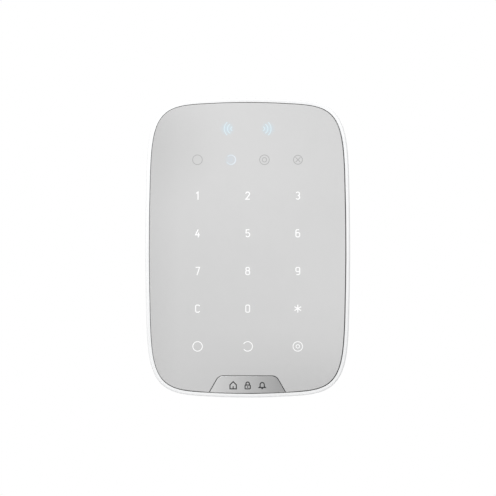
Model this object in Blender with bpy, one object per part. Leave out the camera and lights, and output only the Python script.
"""A wireless touch keypad for an alarm system, hung on its wall bracket.

X is to the right, Z is up, and the wall is the plane y = 0. Sizes are in millimetres and
become metres as a mesh is made. A depth is a distance in front of the wall, so depth d
lies at y = -d.
"""

import math

import bmesh
import bpy
from mathutils import Matrix, Vector

MM = 0.001
SMOOTH_ANGLE = math.radians(35)

# Casing outline, as seen from the front
BODY_WIDTH = 113.0
BODY_HEIGHT = 165.0
BODY_DEPTH = 20.0
RIM = 2.1               # from the casing's edge to the opening for the panel
CORNER_X = 17.0         # the corner's curve starts this far from the middle
CORNER_Z = 25.3
CORNER_POWER = 5.46     # exponent of the corner's superellipse
SIDE_BOW = 2.12         # how far the long edges curve in towards the corners
END_BOW = 3.2           # the same for the short edges
CORNER_STEPS = 14

# Casing section
WALL = 1.7
RIM_FRONT = 19.65       # the panel stands a little proud of the rim
TAPER = 2.2             # the side wall leans in by this much towards the wall
TAPER_START = 17.4
SHELL_BACK = 0.4
LEDGE_BACK = 16.7       # the ledge that carries the panel
LEDGE_FRONT = 17.7
LEDGE_REACH = 4.5
BOSS_RADIUS = 3.2
BOSS_BACK = 6.3
BOSS_HOLE_RADIUS = 1.55
BOSS_HOLE_END = 14.0
BOSSES = ((43.6, 66.6), (-43.6, 66.6), (43.6, -66.6), (-43.6, -66.6), (48.0, 0.0), (-48.0, 0.0))

# Front: panel, badge, gasket and touch film
PANEL_BACK = 18.45
PANEL_GAP = 0.4
PANEL_CHAMFER = 0.25
GASKET = (17.8, 18.3)
GASKET_REACH = 3.4
FILM = (18.2, 18.35)
FILM_INSET = 4.0
BADGE_TOP = -70.7
BADGE_TOP_HALF = 15.8   # half the top edge, to where the slanting sides would meet it
BADGE_LOW_HALF = 20.8
BADGE_LOW = -79.45
BADGE_RADIUS = 4.0
BADGE_GAP = 0.3
BADGE_FRONT = 19.95

# Keys, indicators and contactless mark: centres of their light wells
KEY_X = (-27.6, 0.0, 27.6)
KEY_Z = (28.85, 8.1, -12.65, -33.4)
FUNCTION_Z = -54.2
INDICATOR_X = (-27.68, -9.23, 9.23, 27.68)
INDICATOR_Z = 48.6
MARK_X = (-10.6, 10.6)
MARK_Z = 65.7
KEY_WELL = (5.6, 7.0)
FUNCTION_WELL = (7.0, 7.0)
INDICATOR_WELL = (6.6, 6.6)
MARK_WELL = (6.4, 8.6)

# Chassis: light mask and battery wells in one moulding
CHASSIS_BACK = 15.1
CHASSIS_STEP = 16.45
CHASSIS_FRONT = 17.95
CHASSIS_INSET = 0.6
STEP_INSET = 5.0
WELL_BACK = 5.0
WELL_WALL = 0.9
WELL_HALF_LENGTH = 39.3
PARTITION = 1.2

# Main board
BOARD = (13.6, 14.8)
BOARD_INSET = 1.6
BOARD_REAR_GAP = 0.3
BOARD_SCREWS = ((38.0, 40.0), (-38.0, 40.0), (38.0, -44.0), (-38.0, -44.0))
BOARD_SCREW_HOLE = 1.3
BOSS_CLEARANCE = 3.6

# Cells
CELL_RADIUS = 8.25
CELL_LENGTH = 34.2
CELL_DEPTH = 9.85
CELL_X = 13.8
CELL_START = 1.4        # from the partition's middle to the cell's raised end
CELL_CLEARANCE = 0.3
CELL_NUB = (3.2, 0.8)
CONTACT = (6.0, 4.3, 0.4)   # half width, half depth and thickness of a plate
CONTACT_TAIL = (1.5, 6.9)
CELL_SPRING_RADII = (2.2, 5.6)
CELL_SPRING_LENGTH = 2.5
CELL_SPRING_WIRE = 0.35
CELL_SPRING_GAP = 0.6

# Rear cover
COVER = (2.5, 4.1)
COVER_INSET = 4.2
TROUGH_INNER = 8.4
TROUGH_OUTER = 9.2
TROUGH_HALF_LENGTH = 40.4
CUP_RADIUS = 4.2
CUP_END = 6.0
HEAD_WELL = (3.0, 4.7)
SCREW_PASS = 1.6
POSTS = ((40.0, 25.0), (-40.0, 25.0), (40.0, -28.0), (-40.0, -28.0))
POST_RADIUS = 2.0
LOCK_BLOCK = ((-4.5, 4.5), (3.5, 9.0), (-76.3, -69.5))
BUZZER_SLOTS_X = (30.4, 32.8, 35.2, 37.6)

# Rating label on the rear cover
LABEL = (-33.5, 6.0)
LABEL_SIZE = (13.0, 34.0)
LABEL_THICKNESS = 0.15

# Wall bracket
PLATE = 2.0
PLATE_HALF_WIDTH = 47.0
PLATE_TOP = 74.0
PLATE_LOW = -69.0
PLATE_RADIUS = 16.0
TONGUE_HALF = 6.0
TONGUE_LOW = -78.3
TAB = ((-5.7, 5.7), (1.0, 9.0), (-78.1, -76.8))
HOOKS = ((33.0, 52.0), (-33.0, 52.0), (33.0, -40.0), (-33.0, -40.0))
HOOK_HALF_WIDTH = 5.5
HOOK_STEM = 2.0
HOOK_LIP = 5.0
HOOK_DEPTHS = (1.0, 4.4, 5.9)
RELEASE = 7.0           # the keypad slides up this far to come off the hooks
BATTERY_WINDOW = (13.8, 3.5, 13.0, 91.0)
SIDE_WINDOW = (33.5, 4.0, 15.0, 72.0)
WALL_HOLES = ((34.0, 64.0), (-34.0, 64.0), (34.0, -57.0), (-34.0, -57.0), (0.0, 62.0), (0.0, -54.5))
WALL_HOLE_RADIUS = 2.25
WALL_HOLE_SINK = 4.2
PAD_HALF = 9.0
PAD = (-60.5, -42.5)    # breakaway pad that a forced removal leaves on the wall
PAD_SLIT = 1.2
PAD_BRIDGE = 1.6

# Lock screw, up through the bracket's tab into the rear cover's block
LOCK_DEPTH = 6.0
LOCK_HOLE = 1.75

# Screws, as (radius, length) points from the head's edge to the tip, about the head's seat
COVER_SCREW = ((2.2, -1.5), (2.7, -1.2), (2.7, 0.0), (1.25, 0.0), (1.25, 7.6), (0.5, 8.6))
BOARD_SCREW = ((1.7, -1.1), (2.1, -0.8), (2.1, 0.0), (1.0, 0.0), (1.0, 3.2), (0.4, 3.8))
LOCK_SCREW = ((2.2, -1.7), (2.6, -1.3), (2.6, 0.0), (1.4, 0.0), (1.4, 7.2), (0.6, 8.0))

# Tamper plunger and power button, both through the rear cover
TAMPER = (0.0, -47.0)
TAMPER_RADIUS = 2.0
TAMPER_FACE = 2.3
SLEEVE_RADIUS = 3.6
SLEEVE_END = 6.5
POWER = (33.5, -22.0)
POWER_RADIUS = 4.0
SLIDE_GAP = 0.3
SWITCH = (10.6, 13.3)
SWITCH_SIZE = 6.2
SWITCH_BORE = (1.4, 12.6)
STEM = (1.0, 9.0, 11.0)
TAMPER_PROFILE = ((1.7, 0.0), (2.0, 0.3), (2.0, 4.6), (3.4, 4.6), (3.4, 5.2), (1.0, 5.2), (1.0, 6.4))
POWER_PROFILE = ((3.7, 0.0), (4.0, 0.3), (4.0, 2.1), (5.2, 2.1), (5.2, 2.9), (1.5, 2.9), (1.5, 6.4))
SPRING_START = 0.45     # from the plunger's collar to the middle of the spring's first turn

# Blocks on the back of the board: centre, size and height
BLOCKS = {
    "processor_chip": ((35.5, 8.0), (9.0, 9.0), 1.0),
    "memory_chip": ((35.5, -6.5), (6.0, 5.0), 1.5),
    "reader_chip": ((-34.0, -14.0), (6.0, 6.0), 0.9),
    "crystal": ((27.5, -6.5), (5.0, 3.2), 1.1),
    "radio_shield": ((-34.8, 10.0), (18.0, 16.0), 2.6),
    "flex_connector": ((-29.0, -60.3), (14.0, 4.0), 1.4),
}

# Round parts on the back of the board, as (radius, length) points
BUZZER = ((1.0, -3.8), (1.0, -5.0), (5.6, -5.0), (6.0, -4.6), (6.0, 0.0))
BUZZER_X = 34.0
CAPACITOR = ((2.8, -7.2), (3.15, -6.8), (3.15, 0.0))
CAPACITORS_X = (20.0, 12.5)
ROUND_PARTS_Z = -62.0

# Antenna: an arm with two legs down to the board, cut from sheet
ANTENNA_Z = 74.0
ANTENNA_HALF_LENGTH = 15.0
ANTENNA_REACH = 6.0
ANTENNA_ARM = 3.5
ANTENNA_LEGS = ((-15.0, -13.0), (-8.0, -6.0))
ANTENNA_SHEET = 0.4

# Flexible lead from the touch film to the board
FLEX_X = (-35.0, -23.0)
FLEX_THICKNESS = 0.25
FLEX_FRONT = 17.95
FLEX_BACK = 12.5
FLEX_START = -60.0
FLEX_FOLD = -66.4
FLEX_END = -62.6
FLEX_RADIUS = 0.5
FLEX_SLOT = ((-35.6, -22.4), (-67.4, -65.4))

# Reader coil
COIL = (0.0, 63.95, 59.0, 17.5)
COIL_WIDTH = 2.5
COIL_DEPTHS = (17.3, 17.7)
COIL_POCKET_FLOOR = 17.0

ROUND = 24
SMALL_ROUND = 12
MIDDLE_ROUND = 16


# ---------------------------------------------------------------- shape helpers

def point(x, depth, z):
    """A point in metres."""
    return Vector((x * MM, -depth * MM, z * MM))


def loft(bm, rings, closed=False):
    """Skin rings of (x, depth, z) points; an open skin gets a cap at each end."""
    loops = [[bm.verts.new(point(*p)) for p in ring] for ring in rings]
    pairs = list(zip(loops, loops[1:]))
    if closed:
        pairs.append((loops[-1], loops[0]))
    else:
        bm.faces.new(loops[0])
        bm.faces.new(loops[-1])
    for low, high in pairs:
        for i in range(len(low)):
            j = (i + 1) % len(low)
            bm.faces.new((low[i], low[j], high[j], high[i]))


def flat_ring(points, depth):
    return [(x, depth, z) for x, z in points]


def bar(bm, x, depth, z):
    """A box between two values of x, of depth and of z."""
    corners = ((x[0], z[0]), (x[1], z[0]), (x[1], z[1]), (x[0], z[1]))
    loft(bm, [flat_ring(corners, d) for d in depth])


def rounded_rectangle(x, z, width, height, radius, steps=4):
    points = []
    for quarter, (sx, sz) in enumerate(((1, 1), (-1, 1), (-1, -1), (1, -1))):
        cx = x + sx * (width / 2 - radius)
        cz = z + sz * (height / 2 - radius)
        for i in range(steps + 1):
            a = math.pi / 2 * (quarter + i / steps)
            points.append((cx + radius * math.cos(a), cz + radius * math.sin(a)))
    return points


def slab(bm, centre, size, radius, levels, steps=4):
    """A rounded rectangle through levels of (depth, how far its edge is moved in)."""
    rings = []
    for depth, shrink in levels:
        width, height = size[0] - 2 * shrink, size[1] - 2 * shrink
        shape = rounded_rectangle(*centre, width, height, max(radius - shrink, 0.1), steps)
        rings.append(flat_ring(shape, depth))
    loft(bm, rings)


def circle(u, v, radius, sides):
    turn = 2 * math.pi / sides
    return [(u + radius * math.cos(i * turn), v + radius * math.sin(i * turn)) for i in range(sides)]


def turned(bm, centre, profile, sides=ROUND):
    """Turn (radius, depth) points about an axis square to the wall at (x, z)."""
    loft(bm, [flat_ring(circle(*centre, r, sides), d) for r, d in profile])


def turned_upright(bm, centre, profile, sides=ROUND):
    """Turn (radius, z) points about an upright axis at (x, depth)."""
    loft(bm, [[(u, v, z) for u, v in circle(*centre, r, sides)] for r, z in profile])


def drawn_across(bm, section, x):
    """Draw a section of (depth, z) points out between two values of x."""
    loft(bm, [[(side, d, z) for d, z in section] for side in x])


def coil_spring(bm, turns, radii, length, wire, along_z, steps=9, sides=5):
    """A coil from radii[0] at 0 to radii[1] at length, along +Z or out towards the wall."""
    rings = []
    for i in range(round(turns * steps) + 1):
        share = i / (turns * steps)
        turn = 2 * math.pi * i / steps
        radius = radii[0] + (radii[1] - radii[0]) * share
        ring = []
        for out, up in circle(radius, length * share, wire, sides):
            across, over = out * math.cos(turn), out * math.sin(turn)
            ring.append((across, over, up) if along_z else (across, up, over))
        rings.append(ring)
    loft(bm, rings)


def casing_quarter():
    """The panel opening's outline from its right edge's middle to its top edge's middle."""
    half_x, half_z = BODY_WIDTH / 2 - RIM, BODY_HEIGHT / 2 - RIM
    points = [(half_x, 0.0)]
    for i in range(CORNER_STEPS + 1):
        u = math.pi / 2 * i / CORNER_STEPS
        across = max(math.cos(u), 0.0) ** (2 / CORNER_POWER)
        up = math.sin(u) ** (2 / CORNER_POWER)
        points.append((CORNER_X + (half_x - CORNER_X) * across, CORNER_Z + (half_z - CORNER_Z) * up))
    points.append((0.0, half_z))
    return [(x - SIDE_BOW * (z / half_z) ** 2, z - END_BOW * (x / half_x) ** 2) for x, z in points]


def casing_outline(inset):
    """The casing's outline, moved in by inset from its outer edge."""
    quarter = casing_quarter()
    loop = quarter + [(-x, z) for x, z in reversed(quarter)][1:]
    loop += [(-x, -z) for x, z in loop][1:-1]
    moved = []
    for before, here, after in zip(loop[-1:] + loop[:-1], loop, loop[1:] + loop[:1]):
        first = Vector(here) - Vector(before)
        second = Vector(after) - Vector(here)
        along = first.normalized() * second.length + second.normalized() * first.length
        out = Vector((along.y, -along.x)).normalized() * (RIM - inset)
        moved.append((here[0] + out.x, here[1] + out.y))
    return moved


def casing_solid(bm, levels, closed=False):
    """A solid through levels of (inset of the casing's outline, depth)."""
    loft(bm, [flat_ring(casing_outline(inset), depth) for inset, depth in levels], closed)


# ---------------------------------------------------------------- object helpers

def finish(name, colour, roughness, metallic=0.0):
    """A plain finish; the colour is linear RGB."""
    material = bpy.data.materials.new(name)
    material.use_nodes = True
    shader = material.node_tree.nodes["Principled BSDF"]
    shader.inputs["Base Color"].default_value = (*colour, 1.0)
    shader.inputs["Roughness"].default_value = roughness
    shader.inputs["Metallic"].default_value = metallic
    material.diffuse_color = (*colour, 1.0)
    return material


def add_object(name, mesh, at, parent):
    obj = bpy.data.objects.new(name, mesh)
    obj.location = point(*at)
    if parent is not None:
        obj.parent = parent
        obj.matrix_parent_inverse = Matrix.Translation(-parent.location)
    bpy.context.scene.collection.objects.link(obj)
    return obj


def make(name, draw, material, at=(0.0, 0.0, 0.0), parent=None):
    """One piece: draw(bm) draws it about the point at, which becomes its origin."""
    bm = bmesh.new()
    draw(bm)
    bmesh.ops.recalc_face_normals(bm, faces=bm.faces)
    mesh = bpy.data.meshes.new(name)
    bm.to_mesh(mesh)
    bm.free()
    mesh.shade_smooth()
    mesh.set_sharp_from_angle(angle=SMOOTH_ANGLE)
    if material is not None:
        mesh.materials.append(material)
    return add_object(name, mesh, at, parent)


def boolean(target, operation, name, draw):
    """Join to target, or cut from it, a hidden shape drawn by draw(bm)."""
    guide = make(name, draw, None)
    guide.hide_render = True
    guide.display_type = "WIRE"
    modifier = target.modifiers.new(name, "BOOLEAN")
    modifier.operation = operation
    modifier.object = guide


def join(target, name, draw):
    boolean(target, "UNION", name, draw)


def cut(target, name, draw):
    boolean(target, "DIFFERENCE", name, draw)


def repeat(names, places, draw, material, parent):
    """Copies of one piece that share a mesh, each with its origin at its own place."""
    first = make(names[0], draw, material, places[0], parent)
    for name, at in zip(names[1:], places[1:]):
        add_object(name, first.data, at, parent)


# ---------------------------------------------------------------- casing

def main_shell(material, parent):
    taper_share = 0.9
    levels = (
        (RIM - 0.2, RIM_FRONT), (0.9, RIM_FRONT), (0.3, RIM_FRONT - 0.25), (0.0, RIM_FRONT - 0.9),
        (0.0, TAPER_START), (TAPER * taper_share, SHELL_BACK + 0.6), (TAPER + 0.3, SHELL_BACK),
        (TAPER + WALL, SHELL_BACK), (RIM, LEDGE_BACK), (RIM + LEDGE_REACH, LEDGE_BACK),
        (RIM + LEDGE_REACH, LEDGE_FRONT), (RIM, LEDGE_FRONT), (RIM, RIM_FRONT - 0.2),
    )
    shell = make("main_shell", lambda bm: casing_solid(bm, levels, closed=True), material, parent=parent)

    def bosses(bm):
        for place in BOSSES:
            turned(bm, place, ((BOSS_RADIUS, BOSS_BACK), (BOSS_RADIUS, LEDGE_BACK + 0.5)), SMALL_ROUND)

    def holes(bm):
        for place in BOSSES:
            bore = ((BOSS_HOLE_RADIUS, BOSS_BACK - 1), (BOSS_HOLE_RADIUS, BOSS_HOLE_END))
            turned(bm, place, bore, SMALL_ROUND)
        half = TONGUE_HALF + 0.8
        bar(bm, (-half, half), (-1.0, TAB[1][1] + SLIDE_GAP), (-90.0, TAB[2][1] + SLIDE_GAP))

    join(shell, "shell_bosses", bosses)
    cut(shell, "shell_holes", holes)


def rear_cover(material, parent):
    levels = ((COVER_INSET, COVER[0]), (COVER_INSET, COVER[1]))
    cover = make("rear_cover", lambda bm: casing_solid(bm, levels), material, parent=parent)

    def trough(bm, side, radius, depth, half_length):
        """A bar with a round back that follows the cells, up to a depth."""
        reach = math.acos((CELL_DEPTH - depth) / radius)
        steps = 10
        arc = [reach * (2 * i / steps - 1) for i in range(steps + 1)]
        section = [(CELL_X * side + radius * math.sin(a), CELL_DEPTH - radius * math.cos(a)) for a in arc]
        loft(bm, [[(x, d, z) for x, d in section] for z in (-half_length, half_length)])

    def raised(bm):
        for side in (-1, 1):
            trough(bm, side, TROUGH_OUTER, COVER[1] - 0.3, TROUGH_HALF_LENGTH)
        for place in BOSSES:
            turned(bm, place, ((CUP_RADIUS, COVER[0] + 0.5), (CUP_RADIUS, CUP_END)), SMALL_ROUND)
        for place in POSTS:
            post = ((POST_RADIUS, COVER[0] + 0.5), (POST_RADIUS, BOARD[0] - BOARD_REAR_GAP))
            turned(bm, place, post, SMALL_ROUND)
        turned(bm, TAMPER, ((SLEEVE_RADIUS, COVER[0] + 0.5), (SLEEVE_RADIUS, SLEEVE_END)), SMALL_ROUND)
        bar(bm, *LOCK_BLOCK)

    def openings(bm):
        for side in (-1, 1):
            trough(bm, side, TROUGH_INNER, COVER[1] + 1.5, WELL_HALF_LENGTH)
        for place in BOSSES:
            seat = HEAD_WELL[1]
            steps = ((HEAD_WELL[0], 1.5), (HEAD_WELL[0], seat), (SCREW_PASS, seat), (SCREW_PASS, 7.0))
            turned(bm, place, steps)
        for x, top in HOOKS:
            low = top - HOOK_STEM - RELEASE - 0.7
            wide = HOOK_HALF_WIDTH + 0.5
            bar(bm, (x - wide, x + wide), (1.5, 5.0), (low, top + SLIDE_GAP))
        turned(bm, TAMPER, ((TAMPER_RADIUS + SLIDE_GAP, 1.5), (TAMPER_RADIUS + SLIDE_GAP, 7.5)))
        turned(bm, POWER, ((POWER_RADIUS + SLIDE_GAP, 1.5), (POWER_RADIUS + SLIDE_GAP, 5.0)))
        for x in BUZZER_SLOTS_X:
            bar(bm, (x - 0.6, x + 0.6), (1.5, 5.0), (-66.0, -58.0))
        half = TONGUE_HALF + 0.8
        bar(bm, (-half, half), (1.5, 5.0), (-90.0, TAB[2][1] + SLIDE_GAP))

    def lock_bore(bm):
        turned_upright(bm, (0.0, LOCK_DEPTH), ((LOCK_HOLE, -78.0), (LOCK_HOLE, -68.0)), SMALL_ROUND)

    join(cover, "cover_raised", raised)
    cut(cover, "cover_openings", openings)
    cut(cover, "cover_lock_bore", lock_bore)


def fasteners(steel, parent):
    """Each screw's origin is on its axis, where its head meets its seat."""
    def cover_screw(bm):
        turned(bm, (0.0, 0.0), COVER_SCREW, MIDDLE_ROUND)

    def board_screw(bm):
        turned(bm, (0.0, 0.0), BOARD_SCREW, SMALL_ROUND)

    seat = HEAD_WELL[1] - SLIDE_GAP
    names = [f"cover_screw_{i + 1}" for i in range(len(BOSSES))]
    repeat(names, [(x, seat, z) for x, z in BOSSES], cover_screw, steel, parent)
    seat = BOARD[0] - BOARD_REAR_GAP
    names = [f"board_screw_{i + 1}" for i in range(len(BOARD_SCREWS))]
    repeat(names, [(x, seat, z) for x, z in BOARD_SCREWS], board_screw, steel, parent)


# ---------------------------------------------------------------- front

def badge_crown(grow):
    """The badge's sides and rounded top, moved out by grow, from the right foot over to the left."""
    slope = math.atan2(BADGE_LOW_HALF - BADGE_TOP_HALF, BADGE_TOP - BADGE_LOW)
    top = BADGE_TOP + grow
    radius = BADGE_RADIUS + grow
    corner = BADGE_TOP_HALF + grow * (1 / math.cos(slope) - math.tan(slope))
    turn = math.pi / 2 - slope
    cx = corner - radius * math.tan(turn / 2)
    steps = 5
    right = [(BADGE_LOW_HALF + grow / math.cos(slope), BADGE_LOW)]
    for i in range(steps + 1):
        a = slope + turn * i / steps
        right.append((cx + radius * math.cos(a), top - radius + radius * math.sin(a)))
    return right + [(-x, z) for x, z in reversed(right)]


def badge_outline(grow):
    """The whole badge; its foot follows the panel's lower edge."""
    half_x, half_z = BODY_WIDTH / 2 - RIM, BODY_HEIGHT / 2 - RIM
    crown = badge_crown(grow)
    steps = 8
    foot = []
    for i in range(1, steps):
        x = crown[0][0] * (2 * i / steps - 1)
        foot.append((x, PANEL_GAP - grow - half_z + END_BOW * (x / half_x) ** 2))
    return crown + foot


def front_pieces(panel_finish, badge_finish, gasket_finish, film_finish, parent):
    inset = RIM + PANEL_GAP
    edge = BODY_DEPTH - PANEL_CHAMFER
    levels = ((inset, PANEL_BACK), (inset, edge), (inset + PANEL_CHAMFER, BODY_DEPTH))
    panel = make("front_panel", lambda bm: casing_solid(bm, levels), panel_finish, parent=parent)

    def notch(bm):
        reach = (PANEL_BACK - 1.0, BODY_DEPTH + 1.0)
        crown = badge_crown(BADGE_GAP)
        below = [(x, z - 5.0) for x, z in (crown[-1], crown[0])]
        loft(bm, [flat_ring(crown + below, depth) for depth in reach])

    cut(panel, "panel_notch", notch)

    def badge(bm):
        edge = 0.15
        rings = [flat_ring(badge_outline(0.0), depth) for depth in (PANEL_BACK, BADGE_FRONT - edge)]
        rings.append(flat_ring(badge_outline(-edge), BADGE_FRONT))
        loft(bm, rings)

    make("badge_plate", badge, badge_finish, parent=parent)
    outer, inner = RIM + 0.2, RIM + GASKET_REACH
    levels = ((outer, GASKET[0]), (outer, GASKET[1]), (inner, GASKET[1]), (inner, GASKET[0]))
    make("panel_gasket", lambda bm: casing_solid(bm, levels, closed=True), gasket_finish, parent=parent)
    levels = [(RIM + FILM_INSET, depth) for depth in FILM]
    make("touch_film", lambda bm: casing_solid(bm, levels), film_finish, parent=parent)


# ---------------------------------------------------------------- inside

def light_wells():
    """Centre and size of the well behind each mark on the panel."""
    wells = [((x, z), KEY_WELL) for x in KEY_X for z in KEY_Z]
    wells += [((x, FUNCTION_Z), FUNCTION_WELL) for x in KEY_X]
    wells += [((x, INDICATOR_Z), INDICATOR_WELL) for x in INDICATOR_X]
    wells += [((x, MARK_Z), MARK_WELL) for x in MARK_X]
    return wells


def battery_space(grow):
    """The two spaces for the cells, as ranges of x, moved out by grow."""
    reach = CELL_RADIUS + CELL_CLEARANCE + grow
    return [(CELL_X * side - reach, CELL_X * side + reach) for side in (-1, 1)]


def chassis(material, parent):
    levels = (
        (RIM + CHASSIS_INSET, CHASSIS_BACK), (RIM + CHASSIS_INSET, CHASSIS_STEP),
        (RIM + STEP_INSET, CHASSIS_STEP), (RIM + STEP_INSET, CHASSIS_FRONT),
    )
    body = make("chassis", lambda bm: casing_solid(bm, levels), material, parent=parent)

    def walls(bm):
        half = WELL_HALF_LENGTH + WELL_WALL
        for x in battery_space(WELL_WALL):
            bar(bm, x, (WELL_BACK, CHASSIS_BACK + 0.5), (-half, half))

    def openings(bm):
        for x in battery_space(0.0):
            for z in ((PARTITION / 2, WELL_HALF_LENGTH), (-WELL_HALF_LENGTH, -PARTITION / 2)):
                bar(bm, x, (WELL_BACK - 1, CHASSIS_FRONT + 1), z)
        for (x, z), (width, height) in light_wells():
            wide = (x - width / 2, x + width / 2)
            bar(bm, wide, (CHASSIS_BACK - 1, CHASSIS_FRONT + 1), (z - height / 2, z + height / 2))
        for place in BOSSES:
            hole = ((BOSS_CLEARANCE, CHASSIS_BACK - 1), (BOSS_CLEARANCE, CHASSIS_FRONT + 1))
            turned(bm, place, hole, SMALL_ROUND)
        for place in BOARD_SCREWS:
            hole = ((BOARD_SCREW_HOLE, CHASSIS_BACK - 1), (BOARD_SCREW_HOLE, CHASSIS_BACK + 2.3))
            turned(bm, place, hole, SMALL_ROUND)
        bar(bm, FLEX_SLOT[0], (CHASSIS_BACK - 1, CHASSIS_FRONT + 1), FLEX_SLOT[1])

    def pockets(bm):
        x, z, width, height = COIL
        wide, tall = width / 2 + 0.4, height / 2 + 0.4
        bar(bm, (x - wide, x + wide), (COIL_POCKET_FLOOR, CHASSIS_FRONT + 0.7), (z - tall, z + tall))
        low, high = FLEX_SLOT[1][1] - 0.5, FLEX_START + 0.6
        bar(bm, FLEX_SLOT[0], (FLEX_FRONT - 0.5, CHASSIS_FRONT + 0.7), (low, high))

    join(body, "chassis_walls", walls)
    cut(body, "chassis_openings", openings)
    cut(body, "chassis_pockets", pockets)


def main_board(material, parent):
    levels = [(RIM + BOARD_INSET, depth) for depth in BOARD]
    board = make("main_board", lambda bm: casing_solid(bm, levels), material, parent=parent)

    def openings(bm):
        through = (BOARD[0] - 1, BOARD[1] + 1)
        half = WELL_HALF_LENGTH + WELL_WALL + 0.3
        for x in battery_space(WELL_WALL + 0.3):
            bar(bm, x, through, (-half, half))
        for place in BOSSES:
            turned(bm, place, [(BOSS_CLEARANCE, depth) for depth in through], SMALL_ROUND)
        for place in BOARD_SCREWS:
            turned(bm, place, [(BOARD_SCREW_HOLE, depth) for depth in through], SMALL_ROUND)
        bar(bm, FLEX_SLOT[0], through, FLEX_SLOT[1])

    cut(board, "board_openings", openings)


def block_part(name, place, size, height, material, parent):
    """A low block on the back of the board."""
    face = BOARD[0] - BOARD_REAR_GAP

    def draw(bm):
        edge = min(0.25, height / 4)
        slab(bm, (0.0, 0.0), size, 0.4, ((-height, edge), (-height + edge, 0.0), (0.0, 0.0)), steps=1)

    make(name, draw, material, (place[0], face, place[1]), parent)


def board_parts(black, tin, ceramic, gold, parent):
    face = BOARD[0] - BOARD_REAR_GAP
    finishes = {"crystal": tin, "radio_shield": tin, "flex_connector": ceramic}
    for name, (place, size, height) in BLOCKS.items():
        block_part(name, place, size, height, finishes.get(name, black), parent)

    def buzzer(bm):
        """A can with a blind sound hole in its end."""
        turned(bm, (0.0, 0.0), BUZZER)

    make("buzzer", buzzer, black, (BUZZER_X, face, ROUND_PARTS_Z), parent)

    def capacitor(bm):
        turned(bm, (0.0, 0.0), CAPACITOR, SMALL_ROUND)

    places = [(x, face, ROUND_PARTS_Z) for x in CAPACITORS_X]
    repeat(["capacitor_1", "capacitor_2"], places, capacitor, tin, parent)

    def antenna(bm):
        near = ANTENNA_ARM - ANTENNA_REACH
        section = []
        for low, high in ANTENNA_LEGS:
            section += [(low, near), (low, 0.0), (high, 0.0), (high, near)]
        section = section[1:]
        end = ANTENNA_HALF_LENGTH
        section += [(end, near), (end, -ANTENNA_REACH), (-end, -ANTENNA_REACH)]
        half = ANTENNA_SHEET / 2
        loft(bm, [[(x, d, z) for x, d in section] for z in (-half, half)])

    make("radio_antenna", antenna, gold, (0.0, face, ANTENNA_Z), parent)


def reader_coil(material, parent):
    x, z, width, height = COIL

    def draw(bm):
        outer = rounded_rectangle(0.0, 0.0, width, height, 4.0)
        inside = rounded_rectangle(0.0, 0.0, width - 2 * COIL_WIDTH, height - 2 * COIL_WIDTH, 1.5)
        half = (COIL_DEPTHS[1] - COIL_DEPTHS[0]) / 2
        around = ((outer, -half), (outer, half), (inside, half), (inside, -half))
        loft(bm, [flat_ring(shape, depth) for shape, depth in around], closed=True)

    make("reader_coil", draw, material, (x, sum(COIL_DEPTHS) / 2, z), parent)


def flex_cable(material, parent):
    def draw(bm):
        """A thin strip that folds back through the slot: its outer face, then its inner face."""
        half = FLEX_THICKNESS / 2
        section = []
        for off in (half, -half):
            side = [(FLEX_FRONT + off, FLEX_START)]
            for centre, start in ((FLEX_FRONT - FLEX_RADIUS, 0.0), (FLEX_BACK + FLEX_RADIUS, math.pi / 2)):
                for i in range(4):
                    a = start + math.pi / 2 * i / 3
                    reach = FLEX_RADIUS + off
                    low = FLEX_FOLD + FLEX_RADIUS
                    side.append((centre + reach * math.cos(a), low - reach * math.sin(a)))
            side.append((FLEX_BACK - off, FLEX_END))
            section += side if off > 0 else side[::-1]
        drawn_across(bm, section, FLEX_X)

    make("flex_cable", draw, material, parent=parent)


# ---------------------------------------------------------------- power

def batteries(cell_finish, contact_finish, parent):
    def cell(bm, up):
        radius, high = CELL_NUB
        end = CELL_LENGTH * up
        profile = (
            (radius, 0.0), (radius, high * up), (CELL_RADIUS - 0.5, high * up),
            (CELL_RADIUS, (high + 0.5) * up), (CELL_RADIUS, end - 0.4 * up), (CELL_RADIUS - 0.4, end),
        )
        turned_upright(bm, (0.0, 0.0), profile)

    def plate(bm):
        """A flat contact with a tail towards the board."""
        wide, deep, thick = CONTACT
        half, end = CONTACT_TAIL
        section = (
            (-wide, -deep), (wide, -deep), (wide, deep), (half, deep),
            (half, end), (-half, end), (-half, deep), (-wide, deep),
        )
        loft(bm, [[(x, d, z) for x, d in section] for z in (-thick / 2, thick / 2)])

    def spring(bm, up):
        coil_spring(bm, 3, CELL_SPRING_RADII, CELL_SPRING_LENGTH * up, CELL_SPRING_WIRE, along_z=True)

    for up, first in ((1, 1), (-1, 3)):
        places = [(CELL_X * side, CELL_DEPTH, CELL_START * up) for side in (-1, 1)]
        names = [f"battery_{first}", f"battery_{first + 1}"]
        repeat(names, places, lambda bm, up=up: cell(bm, up), cell_finish, parent)
        middle = (CELL_START + PARTITION / 2) / 2 * up
        places = [(CELL_X * side, CELL_DEPTH, middle) for side in (-1, 1)]
        names = [f"battery_plate_{first}", f"battery_plate_{first + 1}"]
        repeat(names, places, plate, contact_finish, parent)
        start = CELL_START + CELL_LENGTH + CELL_SPRING_GAP
        places = [(CELL_X * side, CELL_DEPTH, start * up) for side in (-1, 1)]
        names = [f"battery_spring_{first}", f"battery_spring_{first + 1}"]
        repeat(names, places, lambda bm, up=up: spring(bm, up), contact_finish, parent)


# ---------------------------------------------------------------- tamper and power switches

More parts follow.
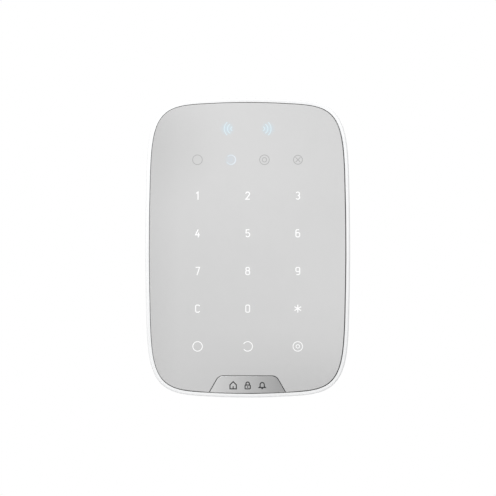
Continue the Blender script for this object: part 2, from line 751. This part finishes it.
def switch_body(name, place, material, parent):
    """A small switch on the board, with a bore that its stem sinks into."""
    def draw(bm):
        half = SWITCH_SIZE / 2
        bar(bm, (-half, half), (SWITCH[0] - SWITCH[1], 0.0), (-half, half))

    def bore(bm):
        turned(bm, place, ((SWITCH_BORE[0], SWITCH[0] - 1), (SWITCH_BORE[0], SWITCH_BORE[1])), SMALL_ROUND)

    body = make(name, draw, material, (place[0], SWITCH[1], place[1]), parent)
    cut(body, name + "_bore", bore)


def pushed_pieces(name, place, profile, stem_name, plastic, parent):
    """A button that slides in through the rear cover, and the switch stem in front of it."""
    def stem(bm):
        turned(bm, (0.0, 0.0), ((STEM[0], 0.0), (STEM[0], STEM[2] - STEM[1])), SMALL_ROUND)

    def button(bm):
        turned(bm, (0.0, 0.0), profile, MIDDLE_ROUND)

    make(name, button, plastic, (place[0], TAMPER_FACE, place[1]), parent)
    make(stem_name, stem, plastic, (place[0], STEM[1], place[1]), parent)


def switches(plastic, black, steel, parent):
    switch_body("tamper_switch", TAMPER, black, parent)
    switch_body("power_switch", POWER, black, parent)
    pushed_pieces("tamper_plunger", TAMPER, TAMPER_PROFILE, "tamper_switch_stem", plastic, parent)
    pushed_pieces("power_button", POWER, POWER_PROFILE, "power_switch_stem", plastic, parent)

    def spring(bm):
        coil_spring(bm, 3.5, (2.3, 2.3), 2.0, 0.2, along_z=False)

    collar = TAMPER_PROFILE[4][1]
    start = TAMPER_FACE + collar + SPRING_START
    make("tamper_spring", spring, steel, (TAMPER[0], start, TAMPER[1]), parent)


# ---------------------------------------------------------------- wall bracket

def wall_bracket(material):
    middle = (PLATE_TOP + PLATE_LOW) / 2
    corner_steps = 6
    size = (2 * PLATE_HALF_WIDTH, PLATE_TOP - PLATE_LOW)
    outline = rounded_rectangle(0.0, middle, *size, PLATE_RADIUS, corner_steps)
    foot = 3 * (corner_steps + 1)
    tongue = [(-TONGUE_HALF, PLATE_LOW), (-TONGUE_HALF, TONGUE_LOW)]
    tongue += [(-x, z) for x, z in reversed(tongue)]
    outline[foot:foot] = tongue

    def plate(bm):
        loft(bm, [flat_ring(outline, depth) for depth in (0.0, PLATE)])

    bracket = make("wall_bracket", plate, material)

    def hooks(bm):
        root, lip, tip = HOOK_DEPTHS
        for x, top in HOOKS:
            section = (
                (root, top - HOOK_STEM), (tip, top - HOOK_STEM), (tip, top + HOOK_LIP - 0.8),
                (tip - 0.5, top + HOOK_LIP), (lip + 0.2, top + HOOK_LIP), (lip, top + HOOK_LIP - 1.0),
                (lip, top), (root, top),
            )
            drawn_across(bm, section, (x - HOOK_HALF_WIDTH, x + HOOK_HALF_WIDTH))
        bar(bm, *TAB)

    def openings(bm):
        through = ((-1.0, 0.0), (PLATE + 1.0, 0.0))
        for x, z, width, height in (BATTERY_WINDOW, SIDE_WINDOW):
            for side in (-1, 1):
                slab(bm, (x * side, z), (width, height), 3.0, through, steps=3)
        for place in WALL_HOLES:
            r = WALL_HOLE_RADIUS
            turned(bm, place, ((r, -1.0), (r, 0.7), (WALL_HOLE_SINK, PLATE), (WALL_HOLE_SINK, 3.0)))
        turned_upright(bm, (0.0, LOCK_DEPTH), ((LOCK_HOLE, -80.0), (LOCK_HOLE, -75.0)))

    def slits(bm):
        """The pad's outline is cut through except for short bridges."""
        deep = (-1.0, PLATE + 1.0)
        half = PAD_SLIT / 2
        centre = (PAD[0] + PAD[1]) / 2
        long = (PAD[1] - PAD[0]) / 2 - PAD_BRIDGE
        wide = PAD_HALF - PAD_BRIDGE
        for side in (-1, 1):
            edge = side * PAD_HALF
            level = centre + side * (PAD[1] - PAD[0]) / 2
            for way in (-1, 1):
                upright = sorted(centre + way * end for end in (PAD_BRIDGE / 2, long))
                across = sorted(way * end for end in (PAD_BRIDGE / 2, wide))
                bar(bm, (edge - half, edge + half), deep, upright)
                bar(bm, across, deep, (level - half, level + half))

    join(bracket, "bracket_hooks", hooks)
    cut(bracket, "bracket_openings", openings)
    cut(bracket, "bracket_slits", slits)


def lock_screw(material):
    """Origin on the screw's axis, where its head meets the bracket's tab."""
    def draw(bm):
        turned_upright(bm, (0.0, 0.0), LOCK_SCREW, MIDDLE_ROUND)

    make("lock_screw", draw, material, (0.0, LOCK_DEPTH, TAB[2][0] - SLIDE_GAP))


def rating_label(material, parent):
    def draw(bm):
        slab(bm, (0.0, 0.0), LABEL_SIZE, 1.0, ((-LABEL_THICKNESS, 0.0), (0.0, 0.0)), steps=2)

    make("rating_label", draw, material, (LABEL[0], COVER[0] - 0.1, LABEL[1]), parent)


# ---------------------------------------------------------------- assembly

def clear_scene():
    for obj in list(bpy.data.objects):
        bpy.data.objects.remove(obj)


def slide_origin(name, at):
    """An empty on a sliding body's axis, which carries that body's pieces."""
    return add_object(name, None, at, None)


def main():
    clear_scene()
    white = finish("white_plastic", (0.84, 0.85, 0.86), 0.42)
    grey = finish("panel_grey", (0.62, 0.63, 0.64), 0.38)
    silver = finish("badge_silver", (0.48, 0.48, 0.49), 0.4, 0.8)
    dark = finish("black_rubber", (0.02, 0.02, 0.02), 0.85)
    film = finish("film_polyester", (0.07, 0.07, 0.072), 0.3)
    natural = finish("chassis_plastic", (0.72, 0.72, 0.7), 0.6)
    green = finish("board_green", (0.02, 0.14, 0.06), 0.45)
    black = finish("component_black", (0.03, 0.03, 0.03), 0.5)
    tin = finish("tinned_steel", (0.6, 0.6, 0.6), 0.3, 1.0)
    ceramic = finish("connector_ivory", (0.75, 0.7, 0.6), 0.5)
    gold = finish("antenna_brass", (0.7, 0.55, 0.25), 0.3, 1.0)
    copper = finish("coil_copper", (0.72, 0.36, 0.2), 0.35, 1.0)
    foil = finish("cell_wrap", (0.1, 0.2, 0.45), 0.35, 0.3)
    paper = finish("label_white", (0.8, 0.8, 0.78), 0.7)
    steel = finish("zinc_steel", (0.55, 0.56, 0.58), 0.35, 1.0)

    keypad = slide_origin("keypad_slide", (0.0, COVER[0], HOOKS[0][1]))
    wall_bracket(white)
    lock_screw(steel)
    main_shell(white, keypad)
    rear_cover(white, keypad)
    fasteners(steel, keypad)
    front_pieces(grey, silver, dark, film, keypad)
    chassis(natural, keypad)
    main_board(green, keypad)
    board_parts(black, tin, ceramic, gold, keypad)
    reader_coil(copper, keypad)
    flex_cable(film, keypad)
    batteries(foil, tin, keypad)
    switches(white, black, steel, keypad)
    rating_label(paper, keypad)


main()
